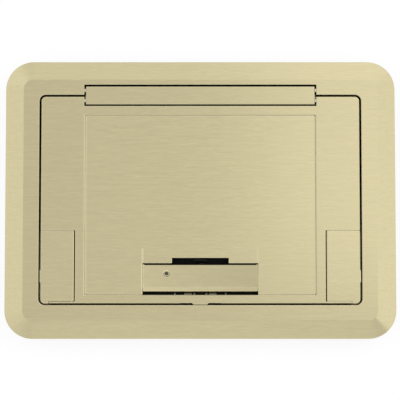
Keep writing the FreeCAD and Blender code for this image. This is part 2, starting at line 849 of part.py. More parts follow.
def make_latch_housing():
    parts = [housing_pan()]
    for piece in bolt_guides() + [housing_ear_plate()]:
        parts += both_sides(piece)
    parts.append(box(-spring_stop_half, spring_stop_half, spring_stop_y,
                     spring_stop_y + spring_stop_thickness, housing_inside - lap,
                     bolt_top + spring_stop_rise))
    boss_top = lock_screw_top - lock_shank_length - lock_boss_gap
    parts.append(rod_z(housing_inside - lap, boss_top, lock_screw_x, lock_screw_y,
                       lock_boss_radius))
    body = parts[0].multiFuse(parts[1:])
    body = body.cut(rod_z(housing_inside, top, lock_screw_x, lock_screw_y,
                          lock_shank_radius - lock_play))
    for hole in both_sides(rod_z(0, top, housing_screw_x, housing_screw_y,
                                 housing_screw_radius + housing_hole_play)):
        body = body.cut(hole)
    return body.removeSplitter()


def make_housing_screws():
    seat = window_rim_bottom - housing_wall
    head_low = seat - housing_screw_head_height
    x = housing_screw_x
    y = housing_screw_y
    shank = rod_z(seat, window_rim_bottom + housing_screw_grip, x, y, housing_screw_radius)
    head = rod_z(head_low, seat, x, y, housing_screw_head)
    slot = box(x - housing_screw_head - past, x + housing_screw_head + past,
               y - screw_slot / 2, y + screw_slot / 2, head_low - past,
               head_low + screw_slot_depth)
    screw = shank.fuse(head).cut(slot).removeSplitter()
    return Part.makeCompound(both_sides(screw))


def make_latch_spring():
    """Compression spring along Y between the bolt and the stop in the housing.

    The wire is square and runs straight between the steps of each turn, to stay light.
    """
    start_y = bolt_rear + spring_wire + spring_end_play
    length = spring_length - 2 * spring_wire - 2 * spring_end_play
    axis_z = (housing_inside + bolt_top + spring_stop_rise) / 2
    steps = spring_turns * spring_steps
    points = []
    for k in range(steps + 1):
        angle = 2 * math.pi * k / spring_steps
        points.append(Vector(spring_radius * math.cos(angle), start_y + length * k / steps,
                             axis_z + spring_radius * math.sin(angle)))
    path = Part.makePolygon(points)
    along = (points[1] - points[0]).normalize()
    side = along.cross(Vector(0, 1, 0)).normalize()
    up = along.cross(side)
    section = []
    for k in range(4):
        angle = math.radians(90 * k)
        section.append(points[0] + side * (spring_wire * math.cos(angle))
                       + up * (spring_wire * math.sin(angle)))
    profile = Part.makePolygon(section + section[:1])
    return path.makePipeShell([profile], True, False, 1)


def save(name, shape):
    shape.exportStep(os.path.join("parts", name + ".step"))


def save_pair(name, right):
    save(name + "_right", right)
    save(name + "_left", mirrored(right))


def main():
    os.makedirs("parts", exist_ok=True)
    save("flange", make_flange())
    save("floor_gasket", make_floor_gasket())
    save_pair("lid_gasket", make_lid_gasket())
    save("mounting_screws", make_mounting_screws())
    save("hinge_strip", make_hinge_strip())
    save_pair("hinge_pin_frame", make_hinge_pin(rear_axis_y))
    save_pair("hinge_pin_lid", make_hinge_pin(front_axis_y))
    save("lid", make_lid())
    save("insert_plate", make_insert_plate())
    save_pair("cable_door", make_cable_door())
    save_pair("cable_door_pin", make_door_pin())
    save("handle", make_handle())
    save("handle_pin", make_handle_pin())
    save("lock_screw", make_lock_screw())
    save("latch_bolt", make_latch_bolt())
    save("latch_housing", make_latch_housing())
    save("housing_screws", make_housing_screws())
    save("latch_spring", make_latch_spring())


main()
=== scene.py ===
# %% [markdown]
# # A floor box cover in brushed brass
# This lesson dresses a finished CAD model of a floor box cover: a sloped metal flange, a lid on a
# double hinge, an inlaid panel, two small cable doors and a flush lift handle. The shapes come
# from the CAD model. What Blender adds is the camera, the light, the metal finishes, and the
# small fittings that are too fine for the solid model.

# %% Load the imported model
import bpy
import bmesh
import math
from mathutils import Matrix, Vector


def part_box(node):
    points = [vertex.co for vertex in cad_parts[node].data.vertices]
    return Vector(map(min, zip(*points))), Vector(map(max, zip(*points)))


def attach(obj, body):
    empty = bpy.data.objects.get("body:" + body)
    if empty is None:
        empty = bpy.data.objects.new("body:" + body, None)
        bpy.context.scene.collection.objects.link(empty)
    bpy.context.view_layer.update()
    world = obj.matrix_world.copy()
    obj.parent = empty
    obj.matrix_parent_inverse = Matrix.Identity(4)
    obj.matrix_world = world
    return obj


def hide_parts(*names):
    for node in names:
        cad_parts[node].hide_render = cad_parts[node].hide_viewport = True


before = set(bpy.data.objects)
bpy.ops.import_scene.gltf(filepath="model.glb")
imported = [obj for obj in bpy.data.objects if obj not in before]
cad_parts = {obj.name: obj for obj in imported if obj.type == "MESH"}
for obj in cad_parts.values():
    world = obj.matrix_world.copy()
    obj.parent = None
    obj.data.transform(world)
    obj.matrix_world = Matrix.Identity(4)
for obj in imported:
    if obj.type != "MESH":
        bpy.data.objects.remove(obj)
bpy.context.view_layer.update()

mm = 0.001

# %% [markdown]
# ## Where things are
# The imported meshes give the box of every CAD node, so no size is typed twice. The places that
# several cells use are read once here. The window is the opening in the lid that holds the handle,
# and its half width is the one size that no node's box gives.

# %% Read the main places from the imported meshes
flange_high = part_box("flange")[1]
strip_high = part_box("hinge_strip")[1]
handle_low, handle_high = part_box("handle")
panel_low, panel_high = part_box("insert_plate")
window_half = 50.0 * mm
top_z = flange_high.z
print("cover is", round(flange_high.x * 2 / mm, 1), "x", round(flange_high.y * 2 / mm, 1), "mm")

# %% [markdown]
# ## Camera
# The photo looks almost straight down. The cover is a little wider at the handle side, so the
# camera stands a few degrees towards that side. A long lens from over a metre away gives the
# same weak perspective as the photo.

# %% Camera above the cover
camera_distance = 1.25
camera_tilt = math.radians(3.6)
seen_width = 0.3475
sensor = 36.0

camera_data = bpy.data.cameras.new("camera")
camera_data.sensor_width = sensor
camera_data.lens = sensor * camera_distance / seen_width
camera = bpy.data.objects.new("camera", camera_data)
bpy.context.scene.collection.objects.link(camera)
camera_aim = Vector((-0.0003, -0.0005, top_z))
camera.location = camera_aim + camera_distance * Vector(
    (0.0, -math.sin(camera_tilt), math.cos(camera_tilt)))
camera.rotation_euler = (camera_tilt, 0.0, 0.0)
bpy.context.scene.camera = camera
print("lens", round(camera_data.lens, 1), "mm")

# %% [markdown]
# ## Helpers for node trees
# Every material and the room are small node trees. These helpers add a node with its settings,
# a sum or a product, and a grey ramp, so that each tree below reads as a short list.

# %% Node helpers
def add_node(tree, kind, **values):
    node = tree.nodes.new(kind)
    for name, value in values.items():
        setattr(node, name, value)
    return node


def feed(tree, socket, value):
    """Link a socket to an output, or set it when the value is a plain number or colour."""
    if isinstance(value, (int, float, tuple)):
        socket.default_value = value
    else:
        tree.links.new(value, socket)


def add_math(tree, operation, first, second):
    node = add_node(tree, "ShaderNodeMath", operation=operation)
    feed(tree, node.inputs[0], first)
    feed(tree, node.inputs[1], second)
    return node.outputs[0]


def ramp(tree, source, stops):
    """A grey value that follows the stops, each a place from -1 to 1 and a level."""
    place = add_node(tree, "ShaderNodeMapRange")
    place.inputs["From Min"].default_value = -1.0
    tree.links.new(source, place.inputs["Value"])
    node = add_node(tree, "ShaderNodeValToRGB")
    for number, (where, level) in enumerate(stops):
        position = 0.5 + 0.5 * where
        if number < 2:
            stop = node.color_ramp.elements[number]
            stop.position = position
        else:
            stop = node.color_ramp.elements.new(position)
        stop.color = (level, level, level, 1.0)
    tree.links.new(place.outputs[0], node.inputs[0])
    return node.outputs[0]


def mix_color(tree, factor, first, second):
    node = add_node(tree, "ShaderNodeMix", data_type="RGBA")
    feed(tree, node.inputs[0], factor)
    feed(tree, node.inputs[6], first)
    feed(tree, node.inputs[7], second)
    return node.outputs[2]


def mix_value(tree, factor, first, second):
    node = add_node(tree, "ShaderNodeMix", data_type="FLOAT")
    feed(tree, node.inputs[0], factor)
    feed(tree, node.inputs[2], first)
    feed(tree, node.inputs[3], second)
    return node.outputs[0]


def new_material(name):
    material = bpy.data.materials.new(name)
    material.use_nodes = True
    tree = material.node_tree
    return material, tree, tree.nodes["Principled BSDF"]


# %% [markdown]
# ## Room light
# Metal only shows what it mirrors, so the room is the most important light here. It is a plain
# pale room at a level of about one: a little darker on the left and towards the handle, with one
# large soft window up on the right. Its near edge is what makes the right third of the lid
# lighter than the rest in the photo. Its lower edge slants down to the right, which keeps the
# sloped border light round the near right corner. Each list is a ramp: a direction from -1 to 1
# and the level there. The camera itself sees plain white.

# %% Room with one soft window
walls_x = [(-1.0, 1.05), (1.0, 1.0), (-0.6, 1.14), (-0.2, 0.84), (-0.1, 0.9), (0.0, 0.905),
           (0.6, 0.84)]
walls_y = [(-1.0, 1.2), (1.0, 1.1), (-0.7, 1.18), (-0.4, 0.95), (-0.1, 0.955), (0.05, 0.98),
           (0.15, 0.96), (0.55, 1.15)]
window_x = [(-1.0, 0.0), (1.0, 0.0), (0.028, 0.0), (0.052, 0.32), (0.12, 0.385), (0.6, 0.385)]
window_top = [(-1.0, 1.0), (1.0, 0.5), (0.05, 1.0), (0.3, 0.75)]
window_low = [(-1.0, 0.0), (1.0, 1.0), (-0.03, 0.0), (0.03, 1.0)]
slant_start = 0.12
slant = 1.05

world = bpy.data.worlds.new("pale_room")
bpy.context.scene.world = world
world.use_nodes = True
room = world.node_tree
background = room.nodes["Background"]
toward = add_node(room, "ShaderNodeSeparateXYZ")
room.links.new(add_node(room, "ShaderNodeTexCoord").outputs["Generated"], toward.inputs[0])
walls = add_math(room, "MULTIPLY", ramp(room, toward.outputs["X"], walls_x),
                 ramp(room, toward.outputs["Y"], walls_y))
past_start = add_math(room, "SUBTRACT", toward.outputs["X"], slant_start)
aside = add_math(room, "MAXIMUM", past_start, 0.0)
slanted = add_math(room, "ADD", toward.outputs["Y"], add_math(room, "MULTIPLY", aside, slant))
window = add_math(room, "MULTIPLY", ramp(room, toward.outputs["X"], window_x),
                  add_math(room, "MULTIPLY", ramp(room, toward.outputs["Y"], window_top),
                           ramp(room, slanted, window_low)))
room_path = add_node(room, "ShaderNodeLightPath")
room_level = mix_value(room, room_path.outputs["Is Camera Ray"],
                       add_math(room, "ADD", walls, window), 1.0)
background.inputs["Color"].default_value = (1.0, 1.0, 1.0, 1.0)
room.links.new(room_level, background.inputs["Strength"])
bpy.context.scene.view_settings.view_transform = "Standard"
print("room nodes", len(room.nodes))

# %% [markdown]
# ## Floor with a box opening
# The photo has a pure white ground. The floor shows white to the camera and in reflections, but a
# share of it is a real matte surface, so the cover keeps a soft shadow. A cover like this stands
# over a box in the floor, so inside the collar the floor is painted near black, a painted shade for
# the box's dark inside. That keeps the gaps dark, as they are in the photo. The opening is a mask
# on the floor's own coordinates: a rectangle with round corners, a little smaller than the collar,
# so that no dark shows beside the cover. From underneath the floor is clear, so that the back of
# the cover can be looked at.

# %% White floor
floor_half = 3.0
floor_drop = 0.5 * mm
shadow_share = 0.12
pit_x = flange_high.x - 22.0 * mm
pit_y = flange_high.y - 22.0 * mm
pit_radius = 18.0 * mm
floor_white = (0.9, 0.9, 0.9, 1.0)
# Painted shade for the dark inside of the floor box.
pit_painted_shade = (0.01, 0.01, 0.01, 1.0)

bm = bmesh.new()
bmesh.ops.create_grid(bm, x_segments=1, y_segments=1, size=floor_half)
floor_mesh = bpy.data.meshes.new("floor")
bm.to_mesh(floor_mesh)
bm.free()
floor = bpy.data.objects.new("floor", floor_mesh)
bpy.context.scene.collection.objects.link(floor)
floor.location = (0.0, 0.0, -floor_drop)

floor_material, tree, floor_shader = new_material("white_floor")
place = add_node(tree, "ShaderNodeSeparateXYZ")
tree.links.new(add_node(tree, "ShaderNodeTexCoord").outputs["Object"], place.inputs[0])
beyond = []
for output, half in (("X", pit_x), ("Y", pit_y)):
    away = add_math(tree, "ABSOLUTE", place.outputs[output], 0.0)
    past = add_math(tree, "SUBTRACT", away, half - pit_radius)
    beyond.append(add_math(tree, "POWER", add_math(tree, "MAXIMUM", past, 0.0), 2.0))
from_corner = add_math(tree, "SQRT", add_math(tree, "ADD", beyond[0], beyond[1]), 0.0)
pit = add_math(tree, "LESS_THAN", from_corner, pit_radius)
tree.links.new(mix_color(tree, pit, floor_white, pit_painted_shade), floor_shader.inputs["Base Color"])
floor_shader.inputs["Roughness"].default_value = 0.9
floor_shader.inputs["Specular IOR Level"].default_value = 0.1
glow = add_node(tree, "ShaderNodeEmission")
path = add_node(tree, "ShaderNodeLightPath")
seen = add_math(tree, "MAXIMUM", path.outputs["Is Camera Ray"], path.outputs["Is Glossy Ray"])
outside_pit = add_math(tree, "SUBTRACT", 1.0, pit)
share = add_math(tree, "MULTIPLY", add_math(tree, "MULTIPLY", seen, outside_pit),
                 1.0 - shadow_share)
blend = add_node(tree, "ShaderNodeMixShader")
tree.links.new(share, blend.inputs[0])
tree.links.new(floor_shader.outputs[0], blend.inputs[1])
tree.links.new(glow.outputs[0], blend.inputs[2])
under = add_node(tree, "ShaderNodeMixShader")
tree.links.new(add_node(tree, "ShaderNodeNewGeometry").outputs["Backfacing"], under.inputs[0])
tree.links.new(blend.outputs[0], under.inputs[1])
tree.links.new(add_node(tree, "ShaderNodeBsdfTransparent").outputs[0], under.inputs[2])
tree.links.new(under.outputs[0], tree.nodes["Material Output"].inputs[0])
floor_mesh.materials.append(floor_material)
print("floor half width", floor_half, "m")

# %% [markdown]
# ## Studio lamps
# Two weak soft lamps give the matte parts some shape and the floor its shadow. They are left out
# of reflections, because the room's window already lights the metal.

# %% Lamps
def soft_lamp(name, place, width, height, power):
    data = bpy.data.lights.new(name, "AREA")
    data.shape = "RECTANGLE"
    data.size = width
    data.size_y = height
    data.energy = power
    lamp = bpy.data.objects.new(name, data)
    bpy.context.scene.collection.objects.link(lamp)
    lamp.location = place
    lamp.rotation_euler = (-Vector(place)).to_track_quat("-Z", "Y").to_euler()
    lamp.visible_glossy = False
    return lamp


key_lamp = soft_lamp("key_lamp", (0.9, 0.5, 1.0), 0.8, 0.8, 4.0)
fill_lamp = soft_lamp("fill_lamp", (-0.95, 0.1, 0.85), 0.7, 0.9, 2.0)
print("lamps", key_lamp.data.energy, fill_lamp.data.energy)

# %% [markdown]
# ## Brushed grain
# All outside faces are brushed along the hinge. A brushed surface is many fine straight
# scratches: long along X, narrow across. Noise that is stretched along X gives that, at three
# widths from a hair to a broad streak. One shared node group turns it into a colour, a roughness
# and a height, so that every metal here is brushed the same way but with its own strength.

# %% Brushed grain node group
def new_group(name, inputs, outputs):
    group = bpy.data.node_groups.new(name, "ShaderNodeTree")
    for label, kind, value in inputs:
        socket = group.interface.new_socket(name=label, in_out="INPUT", socket_type=kind)
        socket.default_value = value
    for label, kind in outputs:
        group.interface.new_socket(name=label, in_out="OUTPUT", socket_type=kind)
    return group, group.nodes.new("NodeGroupInput"), group.nodes.new("NodeGroupOutput")


def stretched_noise(tree, source, scale, detail):
    """Noise with its own scale along each axis, in features per metre."""
    mapping = add_node(tree, "ShaderNodeMapping")
    mapping.inputs["Scale"].default_value = scale
    noise = add_node(tree, "ShaderNodeTexNoise")
    noise.inputs["Scale"].default_value = 1.0
    noise.inputs["Detail"].default_value = detail
    noise.inputs["Roughness"].default_value = 0.6
    tree.links.new(source, mapping.inputs["Vector"])
    tree.links.new(mapping.outputs["Vector"], noise.inputs["Vector"])
    return noise.outputs["Fac"]


def scaled_color(tree, color, level):
    node = add_node(tree, "ShaderNodeVectorMath", operation="SCALE")
    tree.links.new(color, node.inputs[0])
    tree.links.new(level, node.inputs["Scale"])
    return node.outputs[0]


def make_brushed_grain():
    group, given, result = new_group(
        "brushed_grain",
        [("Tint", "NodeSocketColor", (0.6, 0.55, 0.34, 1.0)),
         ("Contrast", "NodeSocketFloat", 0.4),
         ("Roughness", "NodeSocketFloat", 0.3),
         ("Roughness Spread", "NodeSocketFloat", 0.1)],
        [("Color", "NodeSocketColor"), ("Roughness", "NodeSocketFloat"),
         ("Height", "NodeSocketFloat")])
    place = add_node(group, "ShaderNodeTexCoord").outputs["Object"]
    hair = stretched_noise(group, place, (260.0, 5200.0, 5200.0), 2.0)
    streak = stretched_noise(group, place, (110.0, 1500.0, 1500.0), 3.0)
    band = stretched_noise(group, place, (30.0, 420.0, 420.0), 3.0)
    narrow = mix_value(group, 0.65, hair, streak)
    both = mix_value(group, 0.25, narrow, band)
    centred = add_math(group, "SUBTRACT", both, 0.5)
    amount = add_math(group, "MULTIPLY", centred, given.outputs["Contrast"])
    level = add_math(group, "ADD", amount, 1.0)
    group.links.new(scaled_color(group, given.outputs["Tint"], level), result.inputs["Color"])
    spread = add_math(group, "MULTIPLY", centred, given.outputs["Roughness Spread"])
    group.links.new(add_math(group, "ADD", spread, given.outputs["Roughness"]),
                    result.inputs["Roughness"])
    group.links.new(narrow, result.inputs["Height"])
    return group


brushed_grain = make_brushed_grain()
print("group", brushed_grain.name)

# %% [markdown]
# ## Worn edges with a painted highlight
# Handling and brushing round the edges off. Their colour is made lighter than the faces, partly for
# that wear and partly as a painted highlight. The Bevel node gives the normal that a rounded edge
# would have. Where it differs from the true normal there is an edge, and that difference is the
# mask.

# %% Worn edge and painted highlight node group
def make_edge_wear_and_highlight():
    group, given, result = new_group(
        "edge_wear_and_highlight",
        [("Radius", "NodeSocketFloat", 0.0004), ("Gain", "NodeSocketFloat", 2.0)],
        [("Mask", "NodeSocketFloat"), ("Normal", "NodeSocketVector")])
    rounded = add_node(group, "ShaderNodeBevel", samples=6)
    group.links.new(given.outputs["Radius"], rounded.inputs["Radius"])
    true = add_node(group, "ShaderNodeNewGeometry").outputs["True Normal"]
    likeness = add_node(group, "ShaderNodeVectorMath", operation="DOT_PRODUCT")
    group.links.new(rounded.outputs[0], likeness.inputs[0])
    group.links.new(true, likeness.inputs[1])
    unlike = add_math(group, "SUBTRACT", 1.0, likeness.outputs["Value"])
    mask = add_node(group, "ShaderNodeClamp")
    group.links.new(add_math(group, "MULTIPLY", unlike, given.outputs["Gain"]), mask.inputs[0])
    group.links.new(mask.outputs[0], result.inputs["Mask"])
    group.links.new(rounded.outputs[0], result.inputs["Normal"])
    return group


edge_wear_and_highlight = make_edge_wear_and_highlight()
print("group", edge_wear_and_highlight.name)

# %% [markdown]
# ## Painted shade in crevices
# The gaps round the lid and the doors are almost black in the photo: they are narrow and deep, and
# the shade in them is painted into the colour. The Ambient Occlusion node measures how closed in a
# point is, and this group turns that into a mask of painted shade. Shallow grooves and the fine
# line round the panel stay light, so the mask only counts from a given depth under the top face
# downwards.

# %% Crevice shade node group
def make_crevice_shade():
    group, given, result = new_group(
        "crevice_shade",
        [("Reach", "NodeSocketFloat", 0.004), ("Threshold", "NodeSocketFloat", 0.3),
         ("Gain", "NodeSocketFloat", 4.0), ("Depth", "NodeSocketFloat", 0.0005)],
        [("Mask", "NodeSocketFloat")])
    place = add_node(group, "ShaderNodeSeparateXYZ")
    group.links.new(add_node(group, "ShaderNodeTexCoord").outputs["Object"], place.inputs[0])
    below = add_math(group, "SUBTRACT", top_z, place.outputs["Z"])
    deep = add_node(group, "ShaderNodeClamp")
    group.links.new(add_math(group, "DIVIDE", below, given.outputs["Depth"]), deep.inputs[0])
    open_sky = add_node(group, "ShaderNodeAmbientOcclusion", samples=8)
    group.links.new(given.outputs["Reach"], open_sky.inputs["Distance"])
    closed = add_math(group, "SUBTRACT", 1.0, open_sky.outputs["AO"])
    beyond = add_math(group, "SUBTRACT", closed, given.outputs["Threshold"])
    mask = add_node(group, "ShaderNodeClamp")
    group.links.new(add_math(group, "MULTIPLY", beyond, given.outputs["Gain"]), mask.inputs[0])
    sunk = add_math(group, "MULTIPLY", deep.outputs[0], deep.outputs[0])
    group.links.new(add_math(group, "MULTIPLY", mask.outputs[0], sunk), result.inputs["Mask"])
    return group


crevice_shade = make_crevice_shade()
print("group", crevice_shade.name)

# %% [markdown]
# ## Cast skin
# Undersides and pockets aren't brushed. They keep the fine pebbled skin of a die casting, a bit
# darker and duller than the face, with faint flow clouds. One group gives its colour and height.

# %% Cast skin node group
def make_cast_skin():
    group, given, result = new_group(
        "cast_skin",
        [("Tint", "NodeSocketColor", (0.4, 0.36, 0.22, 1.0)),
         ("Pebble", "NodeSocketFloat", 1500.0)],
        [("Color", "NodeSocketColor"), ("Height", "NodeSocketFloat")])
    place = add_node(group, "ShaderNodeTexCoord").outputs["Object"]
    pebble = add_node(group, "ShaderNodeTexVoronoi")
    group.links.new(place, pebble.inputs["Vector"])
    group.links.new(given.outputs["Pebble"], pebble.inputs["Scale"])
    cloud = stretched_noise(group, place, (40.0, 60.0, 60.0), 4.0)
    level = add_math(group, "ADD", add_math(group, "MULTIPLY", cloud, 0.5), 0.75)
    group.links.new(scaled_color(group, given.outputs["Tint"], level), result.inputs["Color"])
    group.links.new(pebble.outputs["Distance"], result.inputs["Height"])
    return group


cast_skin = make_cast_skin()
print("group", cast_skin.name)

# %% [markdown]
# ## The brass finish
# The castings and the sheet panel share one finish: a warm pale brass, brushed. Which face is
# brushed and which keeps its cast skin comes from the surface's own normal in object space, so
# the finish stays put when the lid opens. The colour is built up in layers: the grain, then the
# edges, lighter for wear and as a painted highlight, then painted light and shade at set places,
# then painted shade in the gaps.

# %% Brushed metal material
edge_radius = 0.7 * mm
brushed_from, brushed_to = 0.15, 0.6
cast_roughness = 0.6
metal_relief = 0.012 * mm
# Colour of the painted shade in deep gaps.
painted_gap_shade = (0.004, 0.0035, 0.0025, 1.0)


def group_node(tree, group, **values):
    """A shared group in a tree, with its inputs set; an underscore stands for a space."""
    node = add_node(tree, "ShaderNodeGroup", node_tree=group)
    for label, value in values.items():
        node.inputs[label.replace("_", " ")].default_value = value
    return node


def brushed_metal(name, tint, roughness, contrast, edge_highlight_tint, gap_shade_gain=4.0, skin_share=0.35,
                  shade=None):
    """Metal with grain on its outside, cast skin elsewhere, worn edges with a painted highlight,
    painted light and shade by place, and painted shade in the gaps.
    """
    material, tree, shader = new_material(name)
    shader.inputs["Metallic"].default_value = 1.0
    grain = group_node(tree, brushed_grain, Tint=tint, Contrast=contrast,
                       Roughness=roughness, Roughness_Spread=0.15)
    skin_tint = tuple(skin_share * value for value in tint[:3]) + (1.0,)
    skin = group_node(tree, cast_skin, Tint=skin_tint)
    edge = group_node(tree, edge_wear_and_highlight, Radius=edge_radius, Gain=3.0)
    gap = group_node(tree, crevice_shade, Gain=gap_shade_gain)
    coords = add_node(tree, "ShaderNodeTexCoord")
    facing = add_node(tree, "ShaderNodeSeparateXYZ")
    tree.links.new(coords.outputs["Normal"], facing.inputs[0])
    outside = add_node(tree, "ShaderNodeMapRange", interpolation_type="SMOOTHSTEP")
    outside.inputs["From Min"].default_value = brushed_from
    outside.inputs["From Max"].default_value = brushed_to
    tree.links.new(facing.outputs["Z"], outside.inputs["Value"])
    brushed = outside.outputs[0]
    body = mix_color(tree, brushed, skin.outputs["Color"], grain.outputs["Color"])
    # Edges lighter, partly for wear and partly as a painted highlight.
    worn_and_lit = mix_color(tree, edge.outputs["Mask"], body, edge_highlight_tint)
    # Painted light and shade at set places.
    if shade:
        worn_and_lit = scaled_color(tree, worn_and_lit, shade(tree, coords.outputs["Object"]))
    # Painted shade in the deep gaps.
    color = mix_color(tree, gap.outputs["Mask"], worn_and_lit, painted_gap_shade)
    tree.links.new(color, shader.inputs["Base Color"])
    tree.links.new(mix_value(tree, brushed, cast_roughness, grain.outputs["Roughness"]),
                   shader.inputs["Roughness"])
    relief = add_node(tree, "ShaderNodeBump")
    relief.inputs["Strength"].default_value = 0.6
    relief.inputs["Distance"].default_value = metal_relief
    tree.links.new(mix_value(tree, brushed, skin.outputs["Height"], grain.outputs["Height"]),
                   relief.inputs["Height"])
    tree.links.new(edge.outputs["Normal"], relief.inputs["Normal"])
    tree.links.new(relief.outputs[0], shader.inputs["Normal"])
    return material


# %% [markdown]
# ## Painted light and shade at one place
# A few tones in the photo sit at one place of the piece: a painted highlight on both sides of the
# panel's left edge and beside the handle's left end, a painted shade beside the panel's right edge,
# a painted highlight along the handle's crest, painted shade on the handle's rounded rear edge and
# on the rounded edge in front of the handle, and a handle face that darkens slowly to the right as
# a painted shade. Each is a level that the brass is multiplied by, worked out from the piece's own
# coordinates, so it moves with the piece.

# %% Painted light and shade levels by place
def places(tree, source):
    node = add_node(tree, "ShaderNodeSeparateXYZ")
    tree.links.new(source, node.inputs[0])
    return node.outputs["X"], node.outputs["Y"]


def between(tree, value, low, high):
    """One where the value lies between two limits, else zero."""
    return add_math(tree, "MULTIPLY", add_math(tree, "GREATER_THAN", value, low),
                    add_math(tree, "LESS_THAN", value, high))


def mapped(tree, value, from_min, from_max, to_min, to_max, kind="LINEAR"):
    node = add_node(tree, "ShaderNodeMapRange", interpolation_type=kind)
    for label, number in (("From Min", from_min), ("From Max", from_max), ("To Min", to_min),
                          ("To Max", to_max)):
        node.inputs[label].default_value = number
    tree.links.new(value, node.inputs["Value"])
    return node.outputs[0]


def panel_painted_light(tree, source):
    """Painted highlight on both sides of the panel's left edge and beside the handle, a faint
    painted shade at its right edge.
    """
    x, y = places(tree, source)
    away = add_math(tree, "ABSOLUTE",
                    add_math(tree, "SUBTRACT", add_math(tree, "ABSOLUTE", x, 0.0),
                             panel_high.x), 0.0)
    close = mapped(tree, away, 0.6 * mm, 1.9 * mm, 1.0, 0.0, "SMOOTHSTEP")
    beside = add_math(tree, "MULTIPLY", close,
                      between(tree, y, panel_low.y - 1.0 * mm, panel_high.y + 1.0 * mm))
    strength = mapped(tree, x, panel_low.x, panel_high.x, 0.16, -0.07)
    level = add_math(tree, "ADD", add_math(tree, "MULTIPLY", beside, strength), 1.0)
    left_of_handle = add_math(tree, "MULTIPLY",
                              between(tree, x, handle_low.x - 1.6 * mm, handle_low.x),
                              between(tree, y, handle_low.y + 2.5 * mm, handle_high.y))
    return mix_value(tree, left_of_handle, level, 1.14)


def lid_painted_light(tree, source):
    """The panel's painted light, and painted shade on the rounded edge in front of the handle."""
    x, y = places(tree, source)
    edge = add_math(tree, "MULTIPLY", between(tree, x, handle_low.x, handle_high.x),
                    between(tree, y, panel_low.y - 0.45 * mm, panel_low.y + 0.1 * mm))
    return mix_value(tree, edge, panel_painted_light(tree, source), 0.35)


def handle_painted_light(tree, source):
    """Painted shade falling slowly to the right, painted highlight on crest and left edge, painted
    shade on the rounded rear edge.
    """
    x, y = places(tree, source)
    fall = mapped(tree, x, handle_low.x, handle_high.x, 1.06, 0.88)
    crest = between(tree, y, handle_low.y + 1.6 * mm, handle_low.y + 2.8 * mm)
    crest = add_math(tree, "MAXIMUM", crest, add_math(tree, "LESS_THAN", x,
                                                      handle_low.x + 0.8 * mm))
    lit = add_math(tree, "MULTIPLY", fall, mix_value(tree, crest, 1.0, 1.14))
    rear = add_math(tree, "GREATER_THAN", y, handle_high.y - 0.7 * mm)
    inner = between(tree, x, handle_low.x + 1.2 * mm, handle_high.x - 1.2 * mm)
    return mix_value(tree, add_math(tree, "MULTIPLY", rear, inner), lit, 0.04)


# %% Metals of the cover
brass = (0.60, 0.535, 0.325, 1.0)
edge_highlight_brass = (0.80, 0.73, 0.50, 1.0)
sheet_brass = (0.615, 0.548, 0.333, 1.0)
brass_cast = brushed_metal("brushed_brass_casting", brass, 0.15, 0.42, edge_highlight_brass,
                           shade=lid_painted_light)
brass_sheet = brushed_metal("brushed_brass_sheet", sheet_brass, 0.15, 0.45, edge_highlight_brass,
                            gap_shade_gain=0.8, skin_share=0.8, shade=panel_painted_light)
brass_handle = brushed_metal("brushed_brass_handle", brass, 0.17, 0.4, edge_highlight_brass,
                             gap_shade_gain=0.4, skin_share=0.8, shade=handle_painted_light)
screw_steel = brushed_metal("passivated_screw", (0.50, 0.45, 0.29, 1.0), 0.35, 0.2,
                            (0.75, 0.70, 0.52, 1.0))
pin_steel = brushed_metal("turned_pin", (0.62, 0.57, 0.40, 1.0), 0.3, 0.2,
                          (0.75, 0.72, 0.60, 1.0), gap_shade_gain=0.0, skin_share=1.0)
bolt_steel = brushed_metal("blackened_bolt", (0.045, 0.043, 0.036, 1.0), 0.4, 0.3,
                           (0.30, 0.30, 0.27, 1.0))
metals = (brass_cast, brass_sheet, brass_handle, screw_steel, pin_steel, bolt_steel)
print("metals", [metal.name for metal in metals])

# %% [markdown]
# ## Dark housing and foam
# The pan under the handle is a small zinc casting with a black coating, and the seals are
# closed-cell foam. Neither looks like metal: both are matte, the one finely pebbled, the other
# covered with small burst cells. The same pebble pattern serves both at different sizes.

# %% Matte material
def matte(name, tint, second_tint, roughness, cell, depth):
    """Matte coat or foam: cells of one size and depth, and cloudy between two tints."""
    material, tree, shader = new_material(name)
    coords = add_node(tree, "ShaderNodeTexCoord")
    pebble = add_node(tree, "ShaderNodeTexVoronoi")
    pebble.inputs["Scale"].default_value = 1.0 / cell
    tree.links.new(coords.outputs["Object"], pebble.inputs["Vector"])
    cloud = stretched_noise(tree, coords.outputs["Object"], (60.0, 60.0, 60.0), 4.0)
    edge = group_node(tree, edge_wear_and_highlight, Radius=0.3 * mm, Gain=1.5)
    base = mix_color(tree, cloud, tint, second_tint)
    # Edges lighter, partly for wear and partly as a painted highlight.
    worn_and_lit = tuple(2.5 * value for value in second_tint[:3]) + (1.0,)
    tree.links.new(mix_color(tree, edge.outputs["Mask"], base, worn_and_lit),
                   shader.inputs["Base Color"])
    shader.inputs["Roughness"].default_value = roughness
    shader.inputs["Specular IOR Level"].default_value = 0.15
    relief = add_node(tree, "ShaderNodeBump")
    relief.inputs["Strength"].default_value = 0.6
    relief.inputs["Distance"].default_value = depth
    tree.links.new(pebble.outputs["Distance"], relief.inputs["Height"])
    tree.links.new(edge.outputs["Normal"], relief.inputs["Normal"])
    tree.links.new(relief.outputs[0], shader.inputs["Normal"])
    return material


coated_zinc = matte("coated_zinc", (0.004, 0.004, 0.004, 1.0), (0.010, 0.010, 0.010, 1.0),
                    roughness=0.55, cell=0.7 * mm, depth=0.06 * mm)
foam = matte("foam_seal", (0.005, 0.005, 0.005, 1.0), (0.012, 0.012, 0.012, 1.0),
             roughness=0.9, cell=0.5 * mm, depth=0.12 * mm)
print("matte", coated_zinc.name, foam.name)

# %% [markdown]
# ## Dress the CAD nodes
# Each node gets the finish of the real piece. The list is by finish, so it reads as a parts list.

